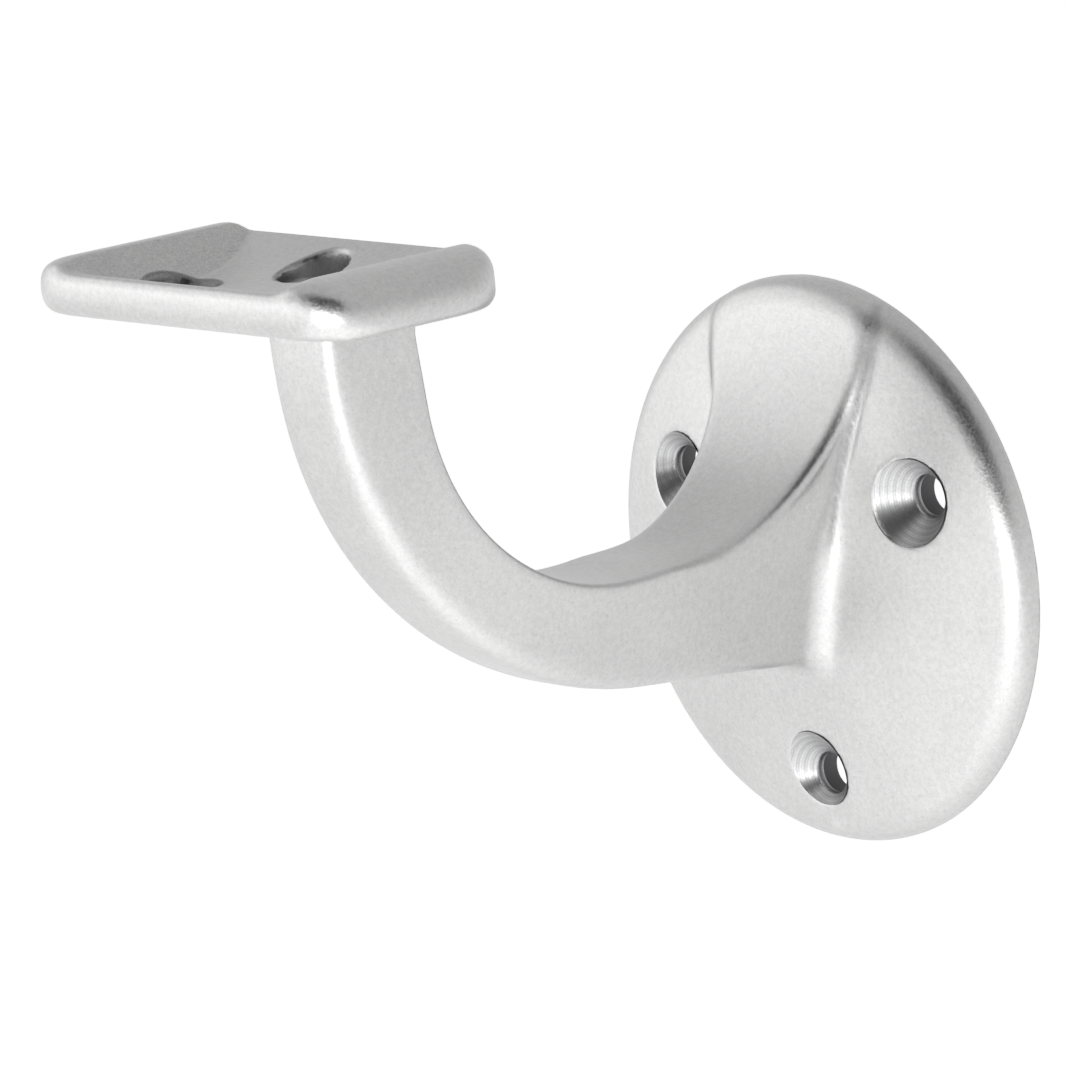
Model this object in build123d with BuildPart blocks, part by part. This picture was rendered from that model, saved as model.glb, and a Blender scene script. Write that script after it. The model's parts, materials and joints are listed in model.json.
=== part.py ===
from build123d import *
import math
import os

# Handrail bracket cast in one piece: a domed round wall plate, a curved arm and a saddle.
# Millimetres, +Z up. The wall is the plane Y = 0, the plate's centre is the origin, the arm
# reaches out along -Y and the handrail lies along X.

# Wall plate
plate_diameter = 70.0
plate_rim_height = 3.0
plate_dome_height = 8.2
plate_rim_round = 2.7

# Holes for three countersunk wood screws in the plate
wall_screw_circle = 48.4
wall_screw_drop = 1.9
wall_screw_hole = 5.3
wall_screw_head = 10.3
wall_screw_angle = 90.0

# Arm: a flat bar bent upwards, seen from the side between two arcs
arm_inner_width = 16.8
arm_side_draft = 14.5
arm_inner_radius = 29.0
arm_inner_reach = 39.0
arm_inner_height = 35.2
arm_inner_lean = 6.0
arm_outer_radius = 50.0
arm_outer_reach = 30.2
arm_outer_height = 41.6
arm_underside_angle = 6.0
arm_outer_round = 2.0
arm_shoulder_height = 1.2

# Flare where the top of the arm rises over the plate in a hollow ramp
flare_foot_reach = 33.2
flare_middle_reach = 11.0
flare_middle_height = 15.6
flare_tip_reach = 3.2
flare_tip_height = 28.5
root_fillet = 3.5

# Saddle under the handrail
saddle_length = 57.0
saddle_width = 28.0
saddle_reach = 83.6
saddle_underside = 45.6
saddle_ridge_height = 6.8
saddle_end_height = 3.2
saddle_corner_round = 8.0
saddle_edge_round = 2.0
ridge_spacing = 41.0

# Seat of the saddle: a trough along the handrail, closed by a slope at each end
seat_radius = 30.0
seat_floor = 2.6
seat_end_slope = 31.0

# Holes for the screws that go up into the handrail, and the pocket over the arm
rail_screw_spacing = 22.0
rail_screw_reach = 86.8
rail_screw_hole = 5.4
rail_screw_recess = 8.6
rail_screw_recess_depth = 0.9
pocket_diameter = 8.6
pocket_reach = 76.3
pocket_floor = 0.4

plate_radius = plate_diameter / 2
ridge_top = saddle_underside + saddle_ridge_height
seat_bottom = saddle_underside + seat_floor
embed = 1.0
cutter_clear = 1.0
tolerance = 0.01

# Plate: the dome is an arc that is level at the centre and falls to the rim
dome_rise = plate_dome_height - plate_rim_height
dome_radius = (plate_radius**2 + dome_rise**2) / (2 * dome_rise)
dome_half_angle = math.asin(plate_radius / dome_radius) / 2
dome_middle_height = plate_dome_height - dome_radius * (1 - math.cos(dome_half_angle))
with BuildPart() as plate:
    with BuildSketch(Plane.YZ) as plate_profile:
        with BuildLine():
            Polyline(
                (-plate_dome_height, 0),
                (0, 0),
                (0, plate_radius),
                (-plate_rim_height, plate_radius),
            )
            ThreePointArc(
                (-plate_rim_height, plate_radius),
                (-dome_middle_height, dome_radius * math.sin(dome_half_angle)),
                (-plate_dome_height, 0),
            )
        make_face()
        rim_corner = plate_profile.vertices().group_by(Axis.Y)[-1].sort_by(Axis.X)[0]
        fillet(rim_corner, radius=plate_rim_round)
    revolve(axis=Axis.Y)


def seen_from_side(reach, height):
    """A point of a side outline: distance from the wall and height."""
    return (-reach, height)


def on_circle(centre_reach, centre_height, radius, angle):
    """A point of a side outline on a circle, its angle in degrees from the outward direction."""
    turn = math.radians(angle)
    reach = centre_reach + radius * math.cos(turn)
    return seen_from_side(reach, centre_height + radius * math.sin(turn))


# Arm outline seen from the side: the ramp on the plate, the inner bend, the straight top, the
# outer bend and a tapering run back to the plate
arm_top = saddle_underside + arm_shoulder_height
inner_bottom = arm_inner_height - arm_inner_radius
lean = math.radians(arm_inner_lean)
lean_foot_reach = arm_inner_reach + arm_inner_radius * math.cos(lean)
lean_foot_height = arm_inner_height - arm_inner_radius * math.sin(lean)
inner_top = lean_foot_reach + (arm_top - lean_foot_height) * math.tan(lean)
outer_side = arm_outer_reach + arm_outer_radius
slope = math.radians(arm_underside_angle)
foot_reach = arm_outer_reach + arm_outer_radius * math.sin(slope)
foot_height = arm_outer_height - arm_outer_radius * math.cos(slope)
root_height = foot_height - (foot_reach - embed) * math.tan(slope)
inner_bend = (
    seen_from_side(arm_inner_reach, inner_bottom),
    on_circle(arm_inner_reach, arm_inner_height, arm_inner_radius, -45),
    seen_from_side(lean_foot_reach, lean_foot_height),
)

# The section is swept along the inner bend: its sides lean in towards the outer face, and it
# stands up past the bend as far as the ramp does
section_rise = flare_tip_height - inner_bottom
section_depth = arm_outer_radius - arm_inner_radius
draft = math.tan(math.radians(arm_side_draft))
top_half_width = arm_inner_width / 2 + section_rise * draft
low_half_width = arm_inner_width / 2 - section_depth * draft
with BuildPart() as arm:
    with BuildLine(Plane.YZ) as inner_line:
        Line(seen_from_side(embed, inner_bottom), inner_bend[0])
        ThreePointArc(*inner_bend)
        Line(
            inner_bend[2],
            seen_from_side(inner_top + embed * math.tan(lean), arm_top + embed),
        )
    with BuildSketch(Plane.XZ.offset(embed)):
        with BuildLine():
            Polyline(
                (-low_half_width, inner_bottom - section_depth),
                (low_half_width, inner_bottom - section_depth),
                (top_half_width, inner_bottom + section_rise),
                (-top_half_width, inner_bottom + section_rise),
                close=True,
            )
        make_face()
    sweep(path=inner_line.wires()[0])
    with BuildSketch(Plane.YZ):
        with BuildLine():
            ThreePointArc(
                seen_from_side(flare_tip_reach, flare_tip_height),
                seen_from_side(flare_middle_reach, flare_middle_height),
                seen_from_side(flare_foot_reach, inner_bottom),
            )
            Line(seen_from_side(flare_foot_reach, inner_bottom), inner_bend[0])
            ThreePointArc(*inner_bend)
            Polyline(
                inner_bend[2],
                seen_from_side(inner_top, arm_top),
                seen_from_side(outer_side, arm_top),
                seen_from_side(outer_side, arm_outer_height),
            )
            ThreePointArc(
                seen_from_side(outer_side, arm_outer_height),
                on_circle(arm_outer_reach, arm_outer_height, arm_outer_radius, -45),
                seen_from_side(foot_reach, foot_height),
            )
            Polyline(
                seen_from_side(foot_reach, foot_height),
                seen_from_side(embed, root_height),
                seen_from_side(embed, flare_tip_height),
                seen_from_side(flare_tip_reach, flare_tip_height),
            )
        make_face()
    extrude(amount=2 * arm_inner_width, both=True, mode=Mode.INTERSECT)
    side_edges = arm.edges().filter_by(
        lambda edge: tolerance < abs(edge.center().X) < arm_inner_width / 2 - tolerance
    )
    outer_edges = side_edges.filter_by(
        lambda edge: edge.geom_type != GeomType.LINE
        or edge.center().Z < foot_height
        or edge.center().Y < -outer_side + tolerance
    )
    fillet(outer_edges, radius=arm_outer_round)

# Saddle blank: both ends rise in an arc to a ridge, with the corners rounded in plan
end_run = (saddle_length - ridge_spacing) / 2
end_rise = saddle_ridge_height - saddle_end_height
end_radius = (end_run**2 + end_rise**2) / (2 * end_rise)
end_turn = math.asin(end_run / end_radius) / 2
end_middle = (
    ridge_spacing / 2 + end_radius * math.sin(end_turn),
    ridge_top - end_radius * (1 - math.cos(end_turn)),
)
saddle_end = saddle_length / 2
end_top = saddle_underside + saddle_end_height
with BuildPart() as saddle:
    with BuildSketch(Plane.XZ.offset(saddle_reach - saddle_width / 2)):
        with BuildLine():
            Polyline(
                (-saddle_end, end_top),
                (-saddle_end, saddle_underside),
                (saddle_end, saddle_underside),
                (saddle_end, end_top),
            )
            ThreePointArc((saddle_end, end_top), end_middle, (ridge_spacing / 2, ridge_top))
            Line((ridge_spacing / 2, ridge_top), (-ridge_spacing / 2, ridge_top))
            ThreePointArc(
                (-ridge_spacing / 2, ridge_top), (-end_middle[0], end_middle[1]), (-saddle_end, end_top)
            )
        make_face()
    extrude(amount=saddle_width)
    with BuildSketch(Plane.XY.offset(saddle_underside)):
        with Locations((0, -saddle_reach)):
            RectangleRounded(saddle_length, saddle_width, saddle_corner_round)
    extrude(amount=saddle_ridge_height, mode=Mode.INTERSECT)
    fillet(saddle.edges().group_by(Axis.Z)[0], radius=saddle_edge_round)
    long_edges = saddle.edges().filter_by(Axis.X).group_by(Axis.Z)[-1]
    end_edges = saddle.edges().filter_by(
        lambda edge: edge.center().Z > end_top - tolerance
        and abs(edge.center().X) > ridge_spacing / 2 + tolerance
    )
    fillet(long_edges + end_edges, radius=saddle_edge_round)

# Seat trough: what lies above both the hollow along the handrail and the two end slopes
trough_depth = saddle_ridge_height
slope_run = trough_depth / math.tan(math.radians(seat_end_slope))
with BuildPart() as trough:
    with BuildSketch(Plane.YZ):
        with Locations((-saddle_reach, seat_bottom + seat_radius)):
            Circle(seat_radius)
    extrude(amount=saddle_length / 2, both=True)
    with BuildSketch(Plane.XZ.offset(saddle_reach - seat_radius)):
        with BuildLine():
            Polyline(
                (-ridge_spacing / 2, ridge_top),
                (-ridge_spacing / 2 + slope_run, ridge_top - trough_depth),
                (ridge_spacing / 2 - slope_run, ridge_top - trough_depth),
                (ridge_spacing / 2, ridge_top),
                (ridge_spacing / 2, ridge_top + trough_depth),
                (-ridge_spacing / 2, ridge_top + trough_depth),
                close=True,
            )
        make_face()
    extrude(amount=2 * seat_radius, mode=Mode.INTERSECT)

# Bracket: the pieces joined, the seat cut and the holes made
screw_radius = wall_screw_circle / 2
screw_level = plate_dome_height - dome_radius + math.sqrt(dome_radius**2 - screw_radius**2)
sink_widening = cutter_clear * math.tan(math.radians(wall_screw_angle / 2))
with BuildPart() as bracket:
    add(arm.part)
    add(plate.part)
    dome = bracket.faces().filter_by(GeomType.SPHERE).sort_by(Axis.Y)[0]
    root_edges = dome.edges().filter_by(
        lambda edge: edge.center().Z < flare_tip_height / 2 and edge.length < plate_diameter
    )
    fillet(root_edges, radius=root_fillet)
    add(saddle.part)
    add(trough.part, mode=Mode.SUBTRACT)
    with Locations((0, -pocket_reach, saddle_underside + pocket_floor)):
        Cylinder(
            pocket_diameter / 2,
            saddle_ridge_height,
            align=(Align.CENTER, Align.CENTER, Align.MIN),
            mode=Mode.SUBTRACT,
        )
    with Locations((0, -rail_screw_reach, seat_bottom - rail_screw_recess_depth)):
        with GridLocations(rail_screw_spacing, 0, 2, 1):
            Cylinder(
                rail_screw_recess / 2,
                saddle_ridge_height,
                align=(Align.CENTER, Align.CENTER, Align.MIN),
                mode=Mode.SUBTRACT,
            )
            Hole(rail_screw_hole / 2)
    with Locations(Plane.XZ.offset(screw_level + cutter_clear)):
        with Locations((0, -wall_screw_drop)):
            with PolarLocations(screw_radius, 3, start_angle=30, rotate=False):
                CounterSinkHole(
                    wall_screw_hole / 2,
                    wall_screw_head / 2 + sink_widening,
                    depth=2 * plate_dome_height,
                    counter_sink_angle=wall_screw_angle,
                )

bracket.part.label = "bracket"
os.makedirs("parts", exist_ok=True)
export_step(bracket.part, "parts/bracket.step")
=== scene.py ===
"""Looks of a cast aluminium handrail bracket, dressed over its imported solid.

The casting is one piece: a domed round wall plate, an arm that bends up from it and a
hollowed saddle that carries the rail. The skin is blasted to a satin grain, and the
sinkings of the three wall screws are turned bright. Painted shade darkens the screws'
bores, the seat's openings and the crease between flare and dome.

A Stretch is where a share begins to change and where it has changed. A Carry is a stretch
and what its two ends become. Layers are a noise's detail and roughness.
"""

import json
import logging
import math
from dataclasses import dataclass, field
from enum import Enum, IntEnum
from typing import Any, Dict, List, Optional, Sequence, Tuple, Union

import bpy
import numpy as np
from mathutils import Matrix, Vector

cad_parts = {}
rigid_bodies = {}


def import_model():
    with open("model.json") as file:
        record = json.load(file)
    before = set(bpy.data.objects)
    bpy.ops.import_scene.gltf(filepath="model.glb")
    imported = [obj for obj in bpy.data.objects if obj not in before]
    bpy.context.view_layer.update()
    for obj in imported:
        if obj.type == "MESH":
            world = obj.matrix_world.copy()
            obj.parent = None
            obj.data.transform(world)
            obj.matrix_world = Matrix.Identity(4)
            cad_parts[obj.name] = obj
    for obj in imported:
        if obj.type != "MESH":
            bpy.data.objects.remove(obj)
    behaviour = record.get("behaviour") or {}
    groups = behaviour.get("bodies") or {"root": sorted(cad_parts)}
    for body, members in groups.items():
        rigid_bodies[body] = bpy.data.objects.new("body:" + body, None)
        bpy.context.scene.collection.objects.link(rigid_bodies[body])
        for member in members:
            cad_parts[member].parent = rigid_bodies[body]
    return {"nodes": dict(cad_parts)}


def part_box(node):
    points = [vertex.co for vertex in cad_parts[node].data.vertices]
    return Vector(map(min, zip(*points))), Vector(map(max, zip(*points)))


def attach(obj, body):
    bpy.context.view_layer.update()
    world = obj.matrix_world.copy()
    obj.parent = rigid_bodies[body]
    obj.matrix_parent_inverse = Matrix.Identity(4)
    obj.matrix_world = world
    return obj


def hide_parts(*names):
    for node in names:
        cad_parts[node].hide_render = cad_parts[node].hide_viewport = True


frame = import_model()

logging.basicConfig(level=logging.INFO, format="%(message)s")
LOG = logging.getLogger("bracket")

Colour = Tuple[float, float, float, float]
Stretch = Tuple[float, float]
Carry = Tuple[float, float, float, float]
Layers = Tuple[float, float]
Spot = Tuple[float, float, float]

BODY = "root"
NODE = "bracket"
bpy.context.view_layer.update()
MM = 0.001
NODE_SPACING = 190.0
BLACK: Colour = (0.0, 0.0, 0.0, 1.0)
WHITE: Colour = (1.0, 1.0, 1.0, 1.0)


class Ray(Enum):
    """The kinds of light ray that the backdrop answers differently."""

    CAMERA = "Is Camera Ray"
    GLOSSY = "Is Glossy Ray"
    TRANSMISSION = "Is Transmission Ray"


class MixSocket(IntEnum):
    """Where a Mix node keeps its colour sockets, whose names its other kinds share."""

    FACTOR = 0
    FIRST = 6
    SECOND = 7
    RESULT = 2


class Value:
    """A number that a node gives, with Python's operators turned into Math nodes."""

    def __init__(self, bench: "Bench", socket: Any) -> None:
        """Keeps the socket and the bench that its next nodes are made on."""
        self.bench = bench
        self.socket = socket

    def _math(self, operation: str, *terms: Any) -> "Value":
        """Adds one Math node.

        Args:
            operation: The node's operation.
            terms: Values, sockets or numbers for its inputs, in order.

        Returns:
            The node's result.
        """
        made = self.bench.node("ShaderNodeMath", {"operation": operation}, dict(enumerate(terms)))
        return Value(self.bench, made.outputs[0])

    def __add__(self, other: Any) -> "Value":
        """Sum."""
        return self._math("ADD", self, other)

    __radd__ = __add__

    def __sub__(self, other: Any) -> "Value":
        """Difference."""
        return self._math("SUBTRACT", self, other)

    def __rsub__(self, other: Any) -> "Value":
        """Difference taken from the other side."""
        return self._math("SUBTRACT", other, self)

    def __mul__(self, other: Any) -> "Value":
        """Product."""
        return self._math("MULTIPLY", self, other)

    __rmul__ = __mul__

    def squared(self) -> "Value":
        """The value times itself."""
        return self * self

    def root(self) -> "Value":
        """Square root."""
        return self._math("SQRT", self)

    def size(self) -> "Value":
        """The value without its sign: the root of its square."""
        return self.squared().root()

    def sine(self) -> "Value":
        """Sine, the value taken in radians."""
        return self._math("SINE", self)

    def at_most(self, other: Any) -> "Value":
        """The smaller of the two."""
        return self._math("MINIMUM", self, other)

    def span(self, low: float, high: float, out_low: float = 0.0, out_high: float = 1.0) -> "Value":
        """Carries the stretch from low to high over to another, smoothly and held at its ends.

        Args:
            low: Where the stretch begins.
            high: Where it ends.
            out_low: What low becomes.
            out_high: What high becomes.

        Returns:
            The carried value.
        """
        made = self.bench.node(
            "ShaderNodeMapRange",
            {"interpolation_type": "SMOOTHSTEP"},
            {"Value": self, "From Min": low, "From Max": high, "To Min": out_low, "To Max": out_high},
        )
        return Value(self.bench, made.outputs["Result"])


class Bench:
    """The node tree of one material or of the world, with one method that adds any node."""

    def __init__(self, tree: Any) -> None:
        """Starts from an empty tree."""
        self.tree = tree
        tree.nodes.clear()

    def node(
        self,
        kind: str,
        settings: Optional[Dict[str, Any]] = None,
        inputs: Optional[Dict[Any, Any]] = None,
    ) -> Any:
        """Adds a node.

        Args:
            kind: The node's type.
            settings: Its properties, which are set first.
            inputs: Values or links of its sockets, by name or number.

        Returns:
            The node.
        """
        made = self.tree.nodes.new(kind)
        made.location = (len(self.tree.nodes) * NODE_SPACING, 0.0)
        for name, setting in (settings or {}).items():
            setattr(made, name, setting)
        for name, given in (inputs or {}).items():
            source = given.socket if isinstance(given, Value) else given
            if isinstance(source, bpy.types.NodeSocket):
                self.tree.links.new(source, made.inputs[name])
            else:
                made.inputs[name].default_value = source
        return made

    def seen(self, kinds: Sequence[Ray]) -> Value:
        """Tells some kinds of light ray from the others.

        Args:
            kinds: The kinds that count.

        Returns:
            1 for rays of these kinds and 0 for all others.
        """
        path = self.node("ShaderNodeLightPath")
        total = Value(self, path.outputs[kinds[0].value])
        for kind in kinds[1:]:
            total = total + Value(self, path.outputs[kind.value])
        return total.at_most(1.0)

    def places(self) -> Any:
        """The point being shaded, in the object's own metres."""
        return self.node("ShaderNodeTexCoord").outputs["Object"]

    def attribute(self, name: str) -> Value:
        """A number that the mesh holds for each of its points."""
        return Value(self, self.node("ShaderNodeAttribute", {"attribute_name": name}).outputs["Fac"])

    def parts_of(self, vector: Any) -> Tuple[Value, Value, Value]:
        """Takes a vector apart into its three values."""
        made = self.node("ShaderNodeSeparateXYZ", None, {0: vector})
        return tuple(Value(self, output) for output in made.outputs)

    def noise(self, vector: Any, per_metre: float, detail: float, roughness: float = 0.5) -> Value:
        """Cloudy noise from 0 to 1.

        Args:
            vector: Where it is read.
            per_metre: How many blotches lie along a metre.
            detail: How many finer layers are added.
            roughness: How strong the finer layers are.

        Returns:
            The noise.
        """
        made = self.node(
            "ShaderNodeTexNoise",
            {"noise_dimensions": "3D"},
            {"Vector": vector, "Scale": per_metre, "Detail": detail, "Roughness": roughness},
        )
        return Value(self, made.outputs["Fac"])

    def grains(self, vector: Any, per_metre: float) -> Value:
        """Reads a cell pattern.

        Args:
            vector: Where it is read.
            per_metre: How many grains lie along a metre.

        Returns:
            The distance to the nearest grain's middle, in grains.
        """
        made = self.node(
            "ShaderNodeTexVoronoi",
            {"feature": "F1", "voronoi_dimensions": "3D"},
            {"Vector": vector, "Scale": per_metre},
        )
        return Value(self, made.outputs["Distance"])

    def blend(self, factor: Any, first: Any, second: Any) -> Any:
        """Mixes two colours.

        Args:
            factor: 0 gives the first, 1 the second.
            first: A colour or a colour socket.
            second: A colour or a colour socket.

        Returns:
            The mixed colour's socket.
        """
        given = {MixSocket.FACTOR: factor, MixSocket.FIRST: first, MixSocket.SECOND: second}
        return self.node("ShaderNodeMix", {"data_type": "RGBA"}, given).outputs[MixSocket.RESULT]

    def bump(self, height: Value, depth: float, strength: float, under: Any = None) -> Any:
        """Tilts the surface by a height.

        Args:
            height: The relief, from 0 to 1.
            depth: How deep the relief is, in metres.
            strength: How much of it shows.
            under: The normal of a coarser relief below this one.

        Returns:
            The tilted normal.
        """
        inputs = {"Height": height, "Distance": depth, "Strength": strength}
        if under is not None:
            inputs["Normal"] = under
        return self.node("ShaderNodeBump", None, inputs).outputs["Normal"]

    def finish(self, **sockets: Any) -> None:
        """Ends the material with one Principled shader.

        Args:
            sockets: What goes into its sockets, their names with _ for a space.
        """
        inputs = {name.replace("_", " "): given for name, given in sockets.items()}
        shader = self.node("ShaderNodeBsdfPrincipled", None, inputs)
        self.node("ShaderNodeOutputMaterial", None, {"Surface": shader.outputs[0]})


def new_material(name: str) -> Tuple[Any, Bench]:
    """Makes an empty material.

    Args:
        name: The material's name.

    Returns:
        The material and the bench for its nodes.
    """
    material = bpy.data.materials.new(name)
    material.use_nodes = True
    return material, Bench(material.node_tree)


@dataclass(frozen=True)
class BlastedSkin:
    """Satin aluminium, blasted: a fine even grain, faint clouds, and raw cast metal in the seat.
    Painted shade darkens the seat's openings and the crease between flare and dome.

    Places and lengths are metres.
    """

    light: Colour = (0.70, 0.70, 0.695, 1.0)
    dull: Colour = (0.55, 0.55, 0.55, 1.0)
    # Dark colour for the grain's pits and the raw slopes, and also painted shade along the crease
    # between flare and dome.
    pits_and_crease_shade: Colour = (0.30, 0.30, 0.305, 1.0)
    # Painted shade inside the seat's openings.
    recess_shade: Colour = (0.20, 0.20, 0.205, 1.0)

    fine_layers: Layers = (2.0, 0.6)
    coarse_layers: Layers = (4.0, 0.65)
    cloud_layers: Layers = (3.0, 0.5)
    clouds_per_metre: float = 60.0
    grain_per_metre: float = 3600.0
    cells_per_metre: float = 2160.0
    mottle_per_metre: float = 1500.0
    specks_per_metre: float = 2100.0
    seat_grain_per_metre: float = 3800.0
    middle_part: Stretch = (0.3, 0.7)
    speck_part: Stretch = (0.60, 0.74)
    slope_part: Stretch = (0.40, 0.65)
    recess_part: Carry = (0.3, 0.55, 0.7, 1.0)
    line_part: Carry = (0.0, 1.0, 0.8, 1.0)

    cloud_tone: float = 0.25
    grain_tone: float = 0.40
    mottle_tone: float = 0.35
    speck_pits: float = 0.22
    slope_pits: float = 0.35
    crease_shade_darkening: float = 0.75

    roughness: float = 0.385
    cloud_roughness: float = 0.10
    grain_roughness: float = 0.10
    seat_roughness: float = 0.06
    slope_roughness: float = 0.10
    line_roughness: float = 0.25

    grain_depth: float = 0.00003
    grain_strength: float = 0.7
    grain_relief: float = 0.6
    cell_relief: float = 0.4
    seat_grain_depth: float = 0.00006
    seat_grain_strength: float = 0.8

    seat_height: Stretch = (0.0462, 0.0468)
    seat_facing: Stretch = (0.5, 0.75)
    seat_half_length: float = 0.0205
    seat_end: Stretch = (-0.0003, 0.0004)
    slope_lean: Stretch = (0.15, 0.35)

    rail_screw_aside: float = 0.011
    rail_screw_reach: float = 0.0868
    pocket_reach: float = 0.0763
    opening_radius: float = 0.0049
    opening_edge: Stretch = (-0.0001, 0.0003)
    opening_height: Stretch = (0.044, 0.0455)
    # How much painted shade darkens the rail screw openings and the pocket; the pocket is shaded on its
    # -x side only.
    opening_dark: float = 0.9
    pocket_dark: float = 0.5
    pocket_shade_from: float = 0.0015
    pocket_shade: Stretch = (0.0, 0.004)

    def seat_and_slope(self, bench: Bench, place: Sequence[Value]) -> Tuple[Value, Value]:
        """Tells the seat between the ridges, and the raw slopes at its two ends.

        The seat is what lies high enough, faces up and is near enough to the middle. On its
        end slopes the surface leans along the rail as well.

        Args:
            bench: The material's bench.
            place: Distance along the rail, distance into the wall and height.

        Returns:
            The share of the seat and that of its slopes, from 0 to 1.
        """
        across, _, height = place
        sideways, _, up = bench.parts_of(bench.node("ShaderNodeNewGeometry").outputs["Normal"])
        seat = height.span(*self.seat_height) * up.span(*self.seat_facing)
        seat = seat * (self.seat_half_length - across.size()).span(*self.seat_end)
        return seat, seat * sideways.size().span(*self.slope_lean)

    def opening(self, place: Sequence[Value], aside: float, reach: float) -> Value:
        """Tells an opening in the seat, and its twin on the middle's other side, for the painted shade
        inside them.

        The distance from the opening's middle is the root of two squares: of the distance
        aside of it and of the distance out from it.

        Args:
            place: Distance along the rail, distance into the wall and height.
            aside: How far the opening stands from the middle along the rail.
            reach: How far it stands from the wall.

        Returns:
            The opening's share, from 0 to 1.
        """
        across, inward, height = place
        from_middle = ((across.size() - aside).squared() + (inward + reach).squared()).root()
        edge = (self.opening_radius - from_middle).span(*self.opening_edge)
        return edge * height.span(*self.opening_height)

    def make(self) -> Any:
        """Builds the material.

        Returns:
            The material, its grain coarser on the seat's end slopes, where the cast surface is raw.
        """
        material, bench = new_material("blasted_aluminium")
        vector = bench.places()
        place = bench.parts_of(vector)
        seat, slope = self.seat_and_slope(bench, place)
        # Painted shade: the seat's openings are darkened, and the pocket only on its -x side.
        screws = self.opening(place, self.rail_screw_aside, self.rail_screw_reach)
        pocket = self.opening(place, 0.0, self.pocket_reach)
        shade = (self.pocket_shade_from - place[0]).span(*self.pocket_shade)
        hollow = screws * self.opening_dark + pocket * shade * self.pocket_dark

        fine = bench.noise(vector, self.grain_per_metre, *self.fine_layers)
        cells = bench.grains(vector, self.cells_per_metre)
        coarse = bench.noise(vector, self.seat_grain_per_metre, *self.coarse_layers)
        clouds = bench.noise(vector, self.clouds_per_metre, *self.cloud_layers)
        mottle = bench.noise(vector, self.mottle_per_metre, *self.fine_layers)
        specks = bench.noise(vector, self.specks_per_metre, *self.fine_layers)
        speckle = fine.span(*self.middle_part)
        # Painted shade along the crease between flare and dome, broken up by the grain.
        line = bench.attribute("crease_shade_mask") * speckle.span(*self.line_part)

        tone = clouds.span(*self.middle_part) * self.cloud_tone + speckle * self.grain_tone
        tone = tone + mottle.span(*self.middle_part) * self.mottle_tone
        colour = bench.blend(tone, self.dull, self.light)
        pits = specks.span(*self.speck_part) * self.speck_pits
        pits = pits + slope * coarse.span(*self.slope_part) * self.slope_pits
        colour = bench.blend(pits.at_most(1.0), colour, self.pits_and_crease_shade)
        # The openings' painted shade, mottled by the coarse noise.
        dark = hollow.at_most(self.opening_dark) * coarse.span(*self.recess_part)
        colour = bench.blend(dark, colour, self.recess_shade)
        # The crease's painted shade is blended in here.
        colour = bench.blend(line * self.crease_shade_darkening, colour, self.pits_and_crease_shade)

        rough = self.roughness + (clouds - 0.5) * self.cloud_roughness
        rough = rough + (speckle - 0.5) * self.grain_roughness
        rough = rough + seat * self.seat_roughness + slope * self.slope_roughness
        rough = rough + line * self.line_roughness

        grain = fine * self.grain_relief + cells * self.cell_relief
        relief = bench.bump(grain, self.grain_depth, self.grain_strength)
        relief = bench.bump(coarse * slope, self.seat_grain_depth, self.seat_grain_strength, relief)
        bench.finish(Base_Color=colour, Metallic=1.0, Roughness=rough, Normal=relief)
        return material


@dataclass(frozen=True)
class TurnedCut:
    """Bare aluminium where a cutter turned it: bright, ringed round the axis, over a bore darkened with
    painted shade.
    """

    colour: Colour = (0.62, 0.62, 0.62, 1.0)
    shade: Colour = (0.38, 0.38, 0.39, 1.0)
    # Painted shade down in the bore.
    bore: Colour = (0.13, 0.13, 0.135, 1.0)
    bore_end: Stretch = (0.0022, 0.0024)

    rings_per_metre: float = 3400.0
    slow_rings: float = 0.37
    wander_per_metre: float = 420.0
    wander_layers: float = 2.0
    wander_turn: float = 3.0
    scratches_per_metre: float = 5200.0
    scratch_layers: float = 3.0
    ring_share: float = 0.20
    slow_share: float = 0.22
    scratch_share: float = 0.58
    mark_part: Stretch = (0.1, 0.9)

    roughness: float = 0.30
    mark_roughness: float = 0.14
    bore_roughness: float = 0.25
    ring_depth: float = 0.00001
    ring_strength: float = 0.8

    def make(self) -> Any:
        """Builds the material.

        A ring is a sine of the metres along the cut, moved by a noise, so that it wanders.

        Returns:
            The material, its rings read from the piece's UV map, which holds metres along the cut.
        """
        material, bench = new_material("turned_aluminium")
        _, along, _ = bench.parts_of(bench.node("ShaderNodeUVMap", {"uv_map": "cut"}).outputs["UV"])
        vector = bench.places()
        wander = bench.noise(vector, self.wander_per_metre, self.wander_layers)
        scratch = bench.noise(vector, self.scratches_per_metre, self.scratch_layers)
        turns = along * (self.rings_per_metre * 2.0 * math.pi) + wander * self.wander_turn
        ring = turns.sine() * 0.5 + 0.5
        slow = (turns * self.slow_rings).sine() * 0.5 + 0.5
        mark = ring * self.ring_share + slow * self.slow_share + scratch * self.scratch_share

        # Painted shade: below the cone, the bore is darkened.
        cone = along.span(*self.bore_end)
        colour = bench.blend(mark.span(*self.mark_part), self.shade, self.colour)
        colour = bench.blend(cone, self.bore, colour)
        rough = self.roughness + (1.0 - mark) * self.mark_roughness
        rough = rough + (1.0 - cone) * self.bore_roughness
        relief = bench.bump(mark, self.ring_depth, self.ring_strength)
        bench.finish(Base_Color=colour, Metallic=1.0, Roughness=rough, Normal=relief)
        return material


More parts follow.
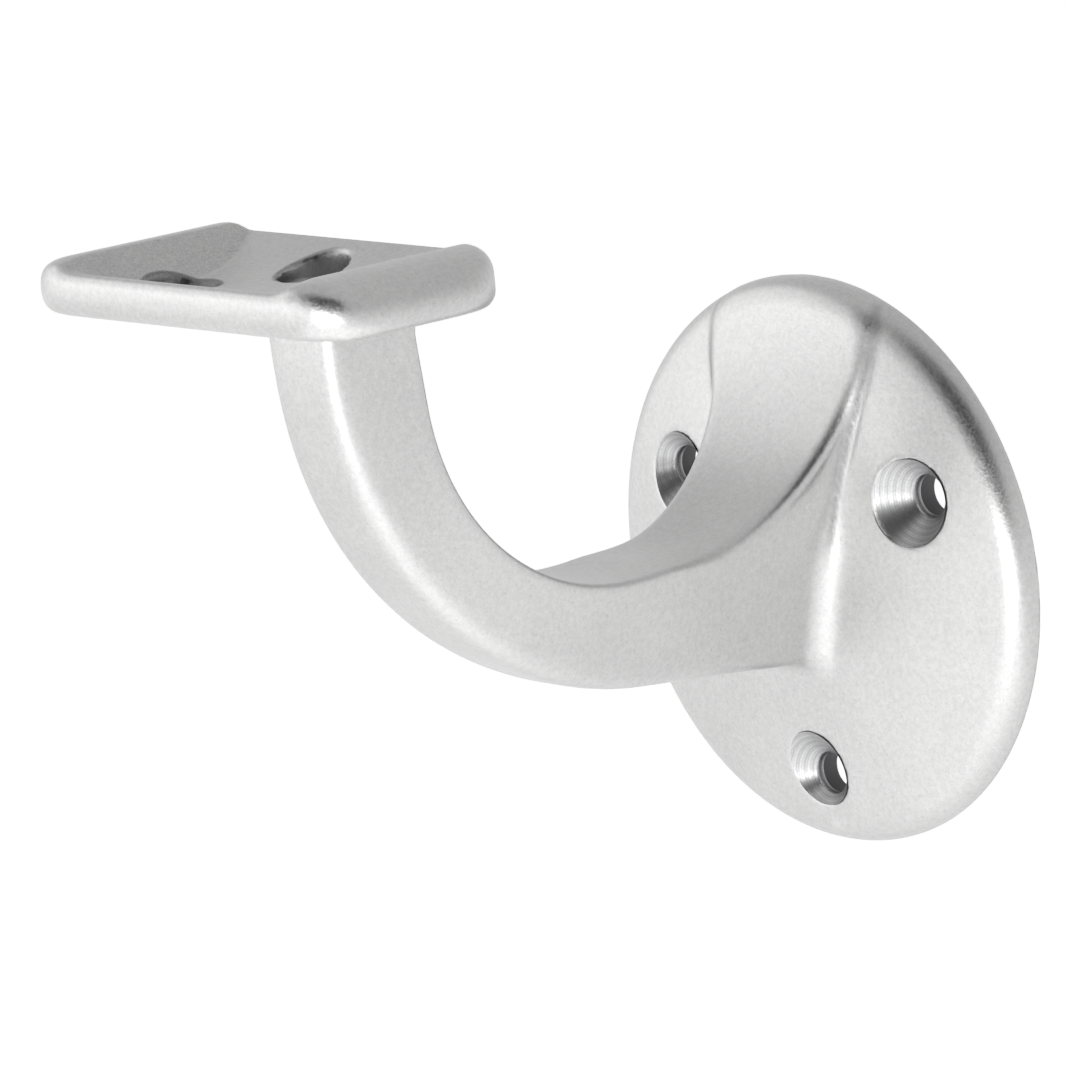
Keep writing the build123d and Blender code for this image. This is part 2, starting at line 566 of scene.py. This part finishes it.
@dataclass(frozen=True)
class Backdrop:
    """The pale floor under the bracket and the white room round it."""

    floor_height: float = -0.125
    floor_size: float = 4.0
    floor_roughness: float = 0.8
    shade: Colour = (0.85, 0.85, 0.85, 1.0)
    drifted_shade: Colour = (0.87, 0.87, 0.87, 1.0)
    drift_per_metre: float = 3.0
    drift_layers: float = 2.0
    glow: float = 1.10
    pool_place: Tuple[float, float] = (0.10, -0.22)
    pool_reach: Stretch = (0.06, 0.32)
    pool_edge: float = 0.46

    horizon: float = 0.86
    zenith: float = 0.63
    climb: Stretch = (0.0, 0.8)
    dark: float = 0.98
    dark_aim: Spot = (0.45, -0.65, 0.60)
    dark_reach: Stretch = (0.72, 0.92)

    def make_floor(self) -> Any:
        """Lays the floor and gives it its finish.

        Where it is looked at, straight or in a reflection, it also glows. The glow is a painted
        pool of light: it falls from full before the bracket to the share of its edge.

        Returns:
            The floor's object.
        """
        half = self.floor_size / 2
        mesh = bpy.data.meshes.new("floor")
        corners = [(-half, -half), (half, -half), (half, half), (-half, half)]
        mesh.from_pydata([(x, y, self.floor_height) for x, y in corners], [], [(0, 1, 2, 3)])
        floor = bpy.data.objects.new("floor", mesh)
        bpy.context.scene.collection.objects.link(floor)
        material, bench = new_material("pale_floor")
        vector = bench.places()
        drift = bench.noise(vector, self.drift_per_metre, self.drift_layers)
        colour = bench.blend(drift, self.shade, self.drifted_shade)
        across, inward, _ = bench.parts_of(vector)
        aside, before = across - self.pool_place[0], inward - self.pool_place[1]
        # Painted pool of light: the floor glows brightest before the bracket.
        pool = (aside.squared() + before.squared()).root().span(*self.pool_reach, 1.0, self.pool_edge)
        glow = bench.blend(bench.seen(list(Ray)) * pool, BLACK, WHITE)
        bench.finish(
            Base_Color=colour,
            Roughness=self.floor_roughness,
            Emission_Color=glow,
            Emission_Strength=self.glow,
        )
        mesh.materials.append(material)
        return floor

    def make_world(self) -> None:
        """Fills the room with light: full white where it is looked at, dimmer for other rays.

        For those it falls from the horizon to the zenith, and a round patch is dark. How near
        a direction lies to the patch is the sum of its parts times those of the patch's aim.
        """
        world = bpy.data.worlds.new("white_room")
        world.use_nodes = True
        bpy.context.scene.world = world
        bench = Bench(world.node_tree)
        direction = bench.node("ShaderNodeTexCoord").outputs["Generated"]
        across, inward, height = bench.parts_of(direction)
        level = height.span(*self.climb, self.horizon, self.zenith)
        aim = [part / math.hypot(*self.dark_aim) for part in self.dark_aim]
        toward = across * aim[0] + inward * aim[1] + height * aim[2]
        level = level * (1.0 - toward.span(*self.dark_reach) * self.dark)
        looked_at = bench.seen([Ray.CAMERA])
        strength = level * (1.0 - looked_at) + looked_at
        room = bench.node("ShaderNodeBackground", None, {"Color": WHITE, "Strength": strength})
        bench.node("ShaderNodeOutputWorld", None, {"Surface": room.outputs[0]})


def set_pose(
    thing: Any,
    right: Sequence[float],
    up: Sequence[float],
    back: Sequence[float],
    place: Sequence[float],
) -> None:
    """Places and turns an object by its three axes.

    Args:
        thing: The object.
        right: Its +X axis.
        up: Its +Y axis.
        back: Its +Z axis.
        place: Where it stands.
    """
    rows = [[right[i], up[i], back[i], place[i]] for i in range(3)]
    thing.matrix_world = Matrix(rows + [[0.0, 0.0, 0.0, 1.0]])


@dataclass(frozen=True)
class Lamp:
    """One soft box: where it hangs, its size in metres, its power in watts and what it looks at."""

    name: str
    place: Spot
    size: Tuple[float, float]
    power: float
    target: Spot = (0.0, -0.045, 0.01)

    def hang(self) -> Any:
        """Makes the lamp and turns it to its target.

        Returns:
            The lamp's object.
        """
        light = bpy.data.lights.new(self.name, "AREA")
        light.shape = "RECTANGLE"
        light.size, light.size_y = self.size
        light.energy = self.power
        lamp = bpy.data.objects.new(self.name, light)
        bpy.context.scene.collection.objects.link(lamp)
        away = np.subtract(self.place, self.target)
        away = away / np.linalg.norm(away)
        side = np.cross((0.0, 0.0, 1.0), away)
        side = side / np.linalg.norm(side)
        set_pose(lamp, side, np.cross(away, side), away, self.place)
        return lamp


@dataclass(frozen=True)
class Lens:
    """The camera: direction and roll in degrees, distance and offsets in millimetres."""

    azimuth: float = 49.52
    elevation: float = 11.39
    roll: float = 5.23
    distance: float = 848.34
    aside: float = -36.52
    above: float = 3.16
    focal_pixels: float = 7000.0
    frame_pixels: float = 1066.0
    pixels_up: float = -1.0
    sensor: float = 36.0
    nearest: float = 10.0

    def set_up(self) -> Any:
        """Makes the camera at the fitted place and gives it to the scene.

        Returns:
            The camera's object.
        """
        a, e, r = (math.radians(v) for v in (self.azimuth, self.elevation, self.roll))
        back = np.array([math.sin(a) * math.cos(e), -math.cos(a) * math.cos(e), math.sin(e)])
        level = np.array([math.cos(a), math.sin(a), 0.0])
        rise = np.cross(back, level)
        right = math.cos(r) * level - math.sin(r) * rise
        up = math.sin(r) * level + math.cos(r) * rise
        place = (self.distance * back + self.aside * right + self.above * up) * MM
        data = bpy.data.cameras.new("camera")
        data.sensor_width = self.sensor
        data.lens = self.sensor * self.focal_pixels / self.frame_pixels
        data.shift_y = self.pixels_up / self.frame_pixels
        data.clip_start = self.nearest * MM
        camera = bpy.data.objects.new("camera", data)
        bpy.context.scene.collection.objects.link(camera)
        set_pose(camera, right, up, back, place)
        bpy.context.scene.camera = camera
        return camera


@dataclass
class WallPlate:
    """The plate's measures in millimetres, as the dome and its three screw holes need them."""

    radius: float = 35.0
    rim_height: float = 3.0
    dome_height: float = 8.2
    rim_round: float = 2.7
    screw_circle: float = 48.4
    screw_drop: float = 1.9
    bore: float = 5.3
    head: float = 10.3
    turns: Tuple[float, ...] = (30.0, 150.0, 270.0)
    dome_radius: float = field(init=False)

    def __post_init__(self) -> None:
        """Works out the dome's radius from its rise over the plate's radius."""
        rise = self.dome_height - self.rim_height
        self.dome_radius = (self.radius**2 + rise**2) / (2 * rise)

    def screw_axes(self) -> List[Tuple[float, float]]:
        """Works out where the wall screws' axes stand.

        Returns:
            Distances across and up from the plate's middle, one pair per screw.
        """
        radius = self.screw_circle / 2
        angles = [math.radians(turn) for turn in self.turns]
        return [(radius * math.cos(a), radius * math.sin(a) - self.screw_drop) for a in angles]

    def front(self, across: np.ndarray, height: np.ndarray) -> np.ndarray:
        """How far the dome stands off the wall.

        A sphere's cap: dome height less dome radius, plus the root of dome radius squared
        less the distance from the plate's middle squared.

        Args:
            across: Distances along the rail, in millimetres.
            height: Heights over the plate's middle, in millimetres.

        Returns:
            The distances from the wall, in millimetres.
        """
        under_root = np.maximum(self.dome_radius**2 - (across**2 + height**2), 0.0)
        return self.dome_height - self.dome_radius + np.sqrt(under_root)


def add_object(name: str, points: np.ndarray, faces: np.ndarray) -> Any:
    """Puts whole arrays of points and faces into a new mesh object with smooth shading.

    Args:
        name: The object's name.
        points: One row of x, y and z per point, in metres.
        faces: One row of point numbers per face, all of the same length.

    Returns:
        The object, linked to the scene.
    """
    mesh = bpy.data.meshes.new(name)
    sides = faces.shape[1]
    mesh.vertices.add(len(points))
    mesh.vertices.foreach_set("co", points.astype(np.float32).ravel())
    mesh.loops.add(faces.size)
    mesh.loops.foreach_set("vertex_index", faces.astype(np.int32).ravel())
    mesh.polygons.add(len(faces))
    mesh.polygons.foreach_set("loop_start", np.arange(0, faces.size, sides, dtype=np.int32))
    mesh.polygons.foreach_set("use_smooth", np.ones(len(faces), dtype=bool))
    mesh.update(calc_edges=True)
    mesh.validate()
    made = bpy.data.objects.new(name, mesh)
    bpy.context.scene.collection.objects.link(made)
    return made


def ring_faces(rings: int, around: int) -> np.ndarray:
    """Faces between closed rings of points that are stored ring after ring.

    Args:
        rings: How many rings there are.
        around: How many points a ring has.

    Returns:
        One row of four point numbers per face.
    """
    turn = np.arange(around)
    ring = np.arange(rings - 1)[:, None] * around
    here = ring + turn
    beside = ring + (turn + 1) % around
    return np.stack([here, beside, beside + around, here + around], axis=-1).reshape(-1, 4)


class Neighbours:
    """Which points of a mesh are joined by its edges."""

    def __init__(self, edges: np.ndarray, points: int) -> None:
        """Keeps both ends of each edge and counts the edges at each point.

        Args:
            edges: One row of two point numbers per edge.
            points: How many points the mesh has.
        """
        self.first, self.second = edges[:, 0], edges[:, 1]
        self.points = points
        self.count = np.bincount(edges.ravel(), minlength=points).astype(float)

    def middle(self, places: np.ndarray) -> np.ndarray:
        """Finds the middle of each point's neighbours: their sum over the edges, over their number.

        Args:
            places: One row of x, y and z per point.

        Returns:
            One row of x, y and z per point.
        """
        sums = [
            np.bincount(self.first, part[self.second], self.points)
            + np.bincount(self.second, part[self.first], self.points)
            for part in places.T
        ]
        return np.stack(sums, axis=-1) / self.count[:, None]


def smooth_max(
    first: np.ndarray, second: np.ndarray, width: Union[float, np.ndarray]
) -> np.ndarray:
    """The larger of two distances, with their meeting rounded.

    Where they differ by less than the width, the square of what is left of the width over
    four widths is added to the larger one.

    Args:
        first: Signed distances in millimetres.
        second: Signed distances in millimetres.
        width: The difference below which they blend.

    Returns:
        The blended distances.
    """
    left = np.maximum(width - np.abs(first - second), 0.0)
    return np.maximum(first, second) + left**2 / (4 * width)


def fade(value: np.ndarray, start: float, stop: float) -> np.ndarray:
    """Goes smoothly from 0 at start to 1 at stop: three times the square less twice the cube."""
    share = np.clip((value - start) / (stop - start), 0.0, 1.0)
    return share * share * (3.0 - 2.0 * share)


def measures(points: np.ndarray) -> Tuple[np.ndarray, np.ndarray, np.ndarray]:
    """Distance from the middle plane, distance from the wall and height of each point."""
    return np.abs(points[:, 0]), -points[:, 1], points[:, 2]


@dataclass
class ArmForm:
    """The arm's measures in millimetres, and how far a point lies outside arm and plate."""

    plate: WallPlate
    half_width: float = 8.4
    draft: float = 14.5
    bend_radius: float = 29.0
    bend_reach: float = 39.0
    bend_height: float = 35.2
    lean: float = 6.0
    ramp: Tuple[Tuple[float, float], ...] = ((4.7, 27.9), (11.2, 15.7), (29.2, 6.3))
    near_wall: float = 15.0

    back_blend: float = 0.45
    rim_blend: float = 1.17
    edge_blend: float = 1.2
    inner_blend: float = 1.02
    root_blend: float = 4.1
    flare_blend: float = 1.5
    flare_rise: Stretch = (0.0, 10.0)
    ramp_blend: float = 1.8
    beside_flank: Stretch = (-1.5, 1.0)
    crease_widening: float = 0.8
    crease_wide: Stretch = (22.0, 32.0)
    crease_fade: float = 3.0
    crease_end: float = 27.5

    line_width: Stretch = (0.1, 1.1)
    line_height: Stretch = (0.0, 7.0)
    line_reach: Stretch = (9.0, 13.0)
    line_depth: Stretch = (1.5, 3.5)

    drawn_reach: Stretch = (9.0, 14.0)
    drawn_depth: Stretch = (-6.0, -3.0)
    drawn_foot: Stretch = (0.0, 5.0)
    drawn_top: Stretch = (40.0, 43.0)
    drawn_rim: Stretch = (28.5, 30.5)
    drawn_rim_reach: Stretch = (8.0, 9.0)
    drawn_edge: Stretch = (31.5, 32.3)
    screw_clear: Stretch = (5.6, 6.7)

    draw_turns: int = 3
    draw_step: float = 0.01
    draw_most: float = 2.5
    least_slope: float = 0.05

    ramp_reach: float = field(init=False)
    ramp_height: float = field(init=False)
    ramp_radius: float = field(init=False)

    def __post_init__(self) -> None:
        """Finds the circle through the ramp's three points.

        Its middle lies equally far from each two of them, which gives two straight equations.
        """
        points = np.array(self.ramp)
        rows = 2.0 * (points[1:] - points[0])
        right = (points[1:] ** 2).sum(axis=1) - (points[0] ** 2).sum()
        self.ramp_reach, self.ramp_height = np.linalg.solve(rows, right)
        self.ramp_radius = float(np.hypot(*(points[0] - (self.ramp_reach, self.ramp_height))))

    def above_path(self, out: np.ndarray, height: np.ndarray) -> np.ndarray:
        """Distance to the arm's inner line, positive in the air it bends round.

        The line is level up to the bend, then an arc, then straight with a lean. Beyond the
        start of the bend the distance is the bend's radius less the distance from its middle,
        and above its end the bend's radius less the distance along the line's normal.

        Args:
            out: Distances from the wall.
            height: Heights over the plate's middle.

        Returns:
            Signed distances.
        """
        lean = math.radians(self.lean)
        along, rise = out - self.bend_reach, height - self.bend_height
        round_part = self.bend_radius - np.hypot(along, rise)
        straight = self.bend_radius - (along * math.cos(lean) - rise * math.sin(lean))
        bent = np.where(np.arctan2(rise, along) > -lean, straight, round_part)
        return np.where(out < self.bend_reach, height - self.bend_height + self.bend_radius, bent)

    def outside(self, points: np.ndarray) -> np.ndarray:
        """Distance outside the plate and arm together, negative within.

        The plate's front is a sphere. The arm is what lies below its inner line or behind the
        ramp's circle, between two flanks that lean apart towards the inner side. Edges are
        rounded, and arm and dome are joined with a hollow that is wide where they meet steeply
        and narrow where the ramp runs out on the dome. Then the plate's cylinder and the wall
        cut both, so that the rim's rounding runs on over the ramp.

        Args:
            points: One row of x, y and z per point, in millimetres.

        Returns:
            Signed distances.
        """
        across, out, height = measures(points)
        radius = self.plate.radius
        dome, arm, steep = self.dome_and_arm(points)
        hollow = self.root_blend + (self.flare_blend - self.root_blend) * fade(height, *self.flare_rise)
        front = -smooth_max(-dome, -arm, self.ramp_blend + (hollow - self.ramp_blend) * steep)
        beyond = np.where(out < self.near_wall, np.hypot(across, height) - radius, -radius)
        rimmed = smooth_max(front, beyond, self.rim_blend * self.plate.rim_round)
        return smooth_max(rimmed, -out, self.back_blend)

    def dome_and_arm(self, points: np.ndarray) -> Tuple[np.ndarray, np.ndarray, np.ndarray]:
        """Distances outside the dome and outside the arm, and how steeply the two meet.

        The ramp's circle is held level beyond its lowest point. The crease between ramp and
        flank is rounded more and more towards the plate's rim, so that it dies away there.

        Args:
            points: One row of x, y and z per point, in millimetres.

        Returns:
            Signed distances to dome and arm, and 0 beside the ramp to 1 beside a flank.
        """
        across, out, height = measures(points)
        middle = self.plate.dome_height - self.plate.dome_radius
        dome = np.sqrt(across**2 + height**2 + (out - middle) ** 2) - self.plate.dome_radius
        path = self.above_path(out, height)
        behind = np.minimum(out - self.ramp_reach, 0.0)
        ramp = self.ramp_radius - np.hypot(behind, height - self.ramp_height)
        width = self.inner_blend - fade(out, self.ramp_reach, self.bend_reach)
        inner = np.where(out < self.bend_reach, -smooth_max(-path, -ramp, width), path)
        draft = math.radians(self.draft)
        flank = (across - self.half_width - path * math.tan(draft)) * math.cos(draft)
        dying = fade(np.hypot(across, height), self.crease_end, self.plate.radius)
        dying = dying * (out < self.near_wall)
        wide = self.crease_widening * (1.0 - fade(out, *self.crease_wide))
        arm = smooth_max(inner, flank, self.edge_blend + wide + self.crease_fade * dying)
        return dome, arm, fade(flank - inner, *self.beside_flank)

    def crease_shade_mask(self, points: np.ndarray) -> np.ndarray:
        """How deep a point lies in the hollow line between flare and dome, where painted shade goes.

        It is 1 where the distances to dome and arm are alike and both small, and fades out
        with their difference, below the flare and out on the arm.

        Args:
            points: One row of x, y and z per point, in millimetres.

        Returns:
            Shares from 0 to 1.
        """
        _, out, height = measures(points)
        dome, arm, steep = self.dome_and_arm(points)
        near = 1.0 - fade(np.abs(dome - arm), *self.line_width)
        upper = fade(height, *self.line_height) * (1.0 - fade(out, *self.line_reach))
        return near * steep * upper * (1.0 - fade(np.abs(dome) + np.abs(arm), *self.line_depth))

    def weight(self, points: np.ndarray) -> np.ndarray:
        """How far a point is drawn on to the form: 1 on the arm's inner side, the dome and the rim.

        It fades out at the arm's outer side, under the saddle, below the arm and near the holes.

        Args:
            points: One row of x, y and z per point, in millimetres.

        Returns:
            Shares from 0 to 1.
        """
        across, out, height = measures(points)
        from_middle = np.hypot(across, height)
        near_wall = 1.0 - fade(out, *self.drawn_reach)
        inner_side = fade(self.above_path(out, height), *self.drawn_depth)
        upper = fade(height, *self.drawn_foot) * (1.0 - fade(height, *self.drawn_top))
        rim = fade(from_middle, *self.drawn_rim) * (1.0 - fade(out, *self.drawn_rim_reach))
        share = np.maximum(upper * np.maximum(near_wall, inner_side), rim)
        for x, z in self.plate.screw_axes():
            share = share * fade(np.hypot(points[:, 0] - x, height - z), *self.screw_clear)
        return np.maximum(share, rim * fade(from_middle, *self.drawn_edge))

    def slope(self, points: np.ndarray) -> np.ndarray:
        """Tells how fast the distance grows along each axis: its rise over a short stretch.

        Args:
            points: One row of x, y and z per point, in millimetres.

        Returns:
            One row of three slopes per point.
        """
        columns = []
        for nudge in np.eye(3) * self.draw_step:
            rise = self.outside(points + nudge) - self.outside(points - nudge)
            columns.append(rise / (2 * self.draw_step))
        return np.stack(columns, axis=-1)

    def draw_on(self, points: np.ndarray) -> np.ndarray:
        """Moves points on to the form along the steepest way, each as far as its weight says.

        A move is the distance times the slope over the slope's square, made a few times.

        Args:
            points: One row of x, y and z per point, in millimetres.

        Returns:
            The moved points.
        """
        share = self.weight(points)
        chosen = share > 0.0
        start = points[chosen]
        moved = start
        for _ in range(self.draw_turns):
            slope = self.slope(moved)
            steepness = np.maximum((slope**2).sum(axis=1), self.least_slope)
            moved = moved - self.outside(moved)[:, None] * slope / steepness[:, None]
        shift = moved - start
        length = np.maximum(np.linalg.norm(shift, axis=1), 1e-9)
        shift = shift * np.minimum(1.0, self.draw_most / length)[:, None]
        result = points.copy()
        result[chosen] = start + shift * share[chosen][:, None]
        return result


@dataclass
class Casting:
    """The cast body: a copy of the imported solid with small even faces, softened as blasting does.

    The cell and the welding distance are metres, the stretches are millimetres.
    """

    plate: WallPlate
    skin: BlastedSkin
    cell: float = 0.00046
    weld: float = 1e-7
    soften_turns: int = 4
    soften_share: float = 0.5
    soften_return: float = 1.04
    wear_turns: int = 26

    saddle_height: Stretch = (44.0, 45.0)
    lip_reach: Stretch = (93.0, 95.5)
    end_aside: Stretch = (25.5, 27.5)
    neck_top: Stretch = (46.6, 47.2)
    neck_aside: Stretch = (9.5, 11.0)
    neck_reach: Stretch = (86.0, 88.0)
    back_depth: Stretch = (3.5, 6.5)
    back_reach: Stretch = (14.0, 22.0)
    back_top: Stretch = (43.5, 45.0)

    def welded_copy(self) -> Any:
        """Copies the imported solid's triangles with their shared corners merged.

        Returns:
            The copy's object.
        """
        source = frame["nodes"][NODE].data
        source.calc_loop_triangles()
        points = np.empty(len(source.vertices) * 3)
        source.vertices.foreach_get("co", points)
        points = points.reshape(-1, 3)
        triangles = np.empty(len(source.loop_triangles) * 3, dtype=np.int64)
        source.loop_triangles.foreach_get("vertices", triangles)
        keys = np.round(points / self.weld).astype(np.int64)
        _, first, number = np.unique(keys, axis=0, return_index=True, return_inverse=True)
        faces = number.ravel()[triangles].reshape(-1, 3)
        whole = (faces != np.roll(faces, 1, axis=1)).all(axis=1)
        return add_object("cast_body", points[first], faces[whole])

    def remesh(self, body: Any) -> None:
        """Gives the copy small even faces with Blender's voxel remesh.

        Args:
            body: The copy's object, whose mesh is replaced.
        """
        step = body.modifiers.new("even_faces", "REMESH")
        step.mode = "VOXEL"
        step.voxel_size = self.cell
        step.use_smooth_shade = True
        graph = bpy.context.evaluated_depsgraph_get()
        fine = bpy.data.meshes.new_from_object(body.evaluated_get(graph))
        body.modifiers.clear()
        body.data = fine

    def soften(self, points: np.ndarray, neighbours: Neighbours) -> np.ndarray:
        """Moves each point a share of the way to the middle of its neighbours, then back a little.

        Args:
            points: One row of x, y and z per point.
            neighbours: Which points are joined.

        Returns:
            The softened points, their volume kept by the step back.
        """
        shares = (self.soften_share, -self.soften_share * self.soften_return)
        for share in shares * self.soften_turns:
            points = points + share * (neighbours.middle(points) - points)
        return points

    def wear_share(self, points: np.ndarray, form: ArmForm) -> np.ndarray:
        """How much wear a point gets, on the lip, the ends, the neck and the arm's outer side.

        Args:
            points: One row of x, y and z per point, in metres.
            form: The arm's form, which tells its outer side.

        Returns:
            Shares from 0 to 1.
        """
        across, out, height = measures(points / MM)
        lip = fade(out, *self.lip_reach)
        end = fade(across, *self.end_aside)
        under = 1.0 - fade(height, *self.neck_top)
        neck = under * (1.0 - fade(across, *self.neck_aside)) * (1.0 - fade(out, *self.neck_reach))
        saddle = fade(height, *self.saddle_height) * np.maximum(np.maximum(lip, end), neck)
        depth = -form.above_path(out, height)
        back = fade(depth, *self.back_depth) * fade(out, *self.back_reach)
        return np.maximum(saddle, back * (1.0 - fade(height, *self.back_top)))

    def wear_round(
        self, points: np.ndarray, neighbours: Neighbours, form: ArmForm
    ) -> np.ndarray:
        """Rounds the saddle's long lip, its two ends, the neck under it and the arm's outer side.

        There each point moves a share of the way to the middle of its neighbours, again and
        again, so outer edges are taken down and the neck's inner corner fills.

        Args:
            points: One row of x, y and z per point, in metres.
            neighbours: Which points are joined.
            form: The arm's form, which tells its outer side.

        Returns:
            The rounded points.
        """
        share = self.soften_share * self.wear_share(points, form)[:, None]
        for _ in range(self.wear_turns):
            points = points + share * (neighbours.middle(points) - points)
        return points

    def build(self) -> Any:
        """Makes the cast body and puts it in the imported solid's place.

        Returns:
            The body's object.
        """
        body = self.welded_copy()
        self.remesh(body)
        mesh = body.data
        mesh.name = "cast_body"
        points = np.empty(len(mesh.vertices) * 3)
        mesh.vertices.foreach_get("co", points)
        edges = np.empty(len(mesh.edges) * 2, dtype=np.int64)
        mesh.edges.foreach_get("vertices", edges)
        neighbours = Neighbours(edges.reshape(-1, 2), len(mesh.vertices))
        form = ArmForm(self.plate)
        points = self.soften(points.reshape(-1, 3), neighbours)
        points = self.wear_round(points, neighbours, form)
        points = form.draw_on(points / MM) * MM
        low, high = (np.array(corner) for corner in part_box(NODE))
        points = np.clip(points, low, high)
        mesh.vertices.foreach_set("co", points.ravel())
        mesh.polygons.foreach_set("use_smooth", np.ones(len(mesh.polygons), dtype=bool))
        mesh.update()
        # Each point's share of the crease's painted shade, which the skin's material reads.
        line = mesh.attributes.new("crease_shade_mask", "FLOAT", "POINT")
        line.data.foreach_set("value", form.crease_shade_mask(points / MM).astype(np.float32))
        mesh.materials.clear()
        mesh.materials.append(self.skin.make())
        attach(body, BODY)
        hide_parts(NODE)
        LOG.info("cast body: %d points, %d faces", len(mesh.vertices), len(mesh.polygons))
        return body


@dataclass
class ScrewSinkings:
    """The turned sinkings of the wall screws, in millimetres: a cone from the dome to a bore."""

    plate: WallPlate
    cut: TurnedCut
    around: int = 128
    inset: float = 0.10
    proud: float = 0.03
    off_wall: float = 0.02
    cone_rows: int = 14
    bore_rows: int = 4
    mouth_turns: int = 8

    def profile_rows(
        self, angle: np.ndarray, axis: Tuple[float, float]
    ) -> Tuple[np.ndarray, np.ndarray]:
        """Radius and distance from the wall of each row, round one screw's axis.

        The cone has 90 degrees, so its radius grows as fast as its distance from the wall. Its
        mouth is where that meets the dome, found by trading one for the other a few times.

        Args:
            angle: The angles round the axis.
            axis: Where the screw's axis stands, across and up, in millimetres.

        Returns:
            Radii and distances, one row per ring and one column per angle, in millimetres.
        """
        plate = self.plate
        level = float(plate.front(np.array([plate.screw_circle / 2]), np.array([0.0]))[0])
        across, height = axis
        mouth = np.full_like(angle, plate.head / 2)
        for _ in range(self.mouth_turns):
            surface = plate.front(across + mouth * np.cos(angle), height + mouth * np.sin(angle))
            mouth = plate.head / 2 + (surface - level)
        start = plate.bore / 2 - self.inset
        share = np.linspace(0.0, 1.0, self.cone_rows)[:, None]
        radius = start + (mouth + self.proud - self.inset - start) * share
        reach = level - plate.head / 2 + self.inset + radius
        foot = reach[0] * np.linspace(0.0, 1.0, self.bore_rows)[:-1, None]
        return (
            np.vstack([np.full_like(foot, start), radius]),
            np.vstack([foot + self.off_wall, reach]),
        )

    def build(self) -> List[Any]:
        """Makes one sinking for each screw.

        Returns:
            The sinkings' objects.
        """
        material = self.cut.make()
        made = []
        angle = np.linspace(0.0, 2.0 * math.pi, self.around, endpoint=False)
        for number, axis in enumerate(self.plate.screw_axes(), start=1):
            across, height = axis
            radius, reach = self.profile_rows(angle, axis)
            x, z = across + radius * np.cos(angle), height + radius * np.sin(angle)
            points = np.stack([x, -reach, z], axis=-1).reshape(-1, 3) * MM
            faces = ring_faces(len(radius), self.around)
            sinking = add_object(f"screw_sinking_{number}", points, faces)
            layer = sinking.data.uv_layers.new(name="cut")
            corner = np.empty(len(sinking.data.loops), dtype=np.int64)
            sinking.data.loops.foreach_get("vertex_index", corner)
            along = np.hypot(radius - radius[0], reach).ravel() * MM
            turn = np.broadcast_to(angle, radius.shape).ravel()
            places = np.stack([turn[corner], along[corner]], axis=-1).astype(np.float32)
            layer.data.foreach_set("uv", places.ravel())
            sinking.data.materials.append(material)
            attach(sinking, BODY)
            made.append(sinking)
            LOG.info("screw sinking %d: %d faces", number, len(faces))
        return made


def main() -> None:
    """Builds the room, the camera and the bracket's pieces, in that order."""
    bpy.context.scene.view_settings.view_transform = "Standard"
    room = Backdrop()
    room.make_world()
    room.make_floor()
    Lens().set_up()
    for lamp in (
        Lamp("left_box", (-1.1, -0.6, 0.45), (1.0, 1.1), 1.9),
        Lamp("front_box", (-0.5, -1.0, 0.04), (0.9, 0.26), 0.85),
        Lamp("low_box", (0.45, -0.85, -0.07), (0.6, 0.10), 2.3),
    ):
        lamp.hang()
        LOG.info("lamp %s", lamp.name)
    plate = WallPlate()
    Casting(plate, BlastedSkin()).build()
    ScrewSinkings(plate, TurnedCut()).build()


if __name__ == "__main__":
    main()
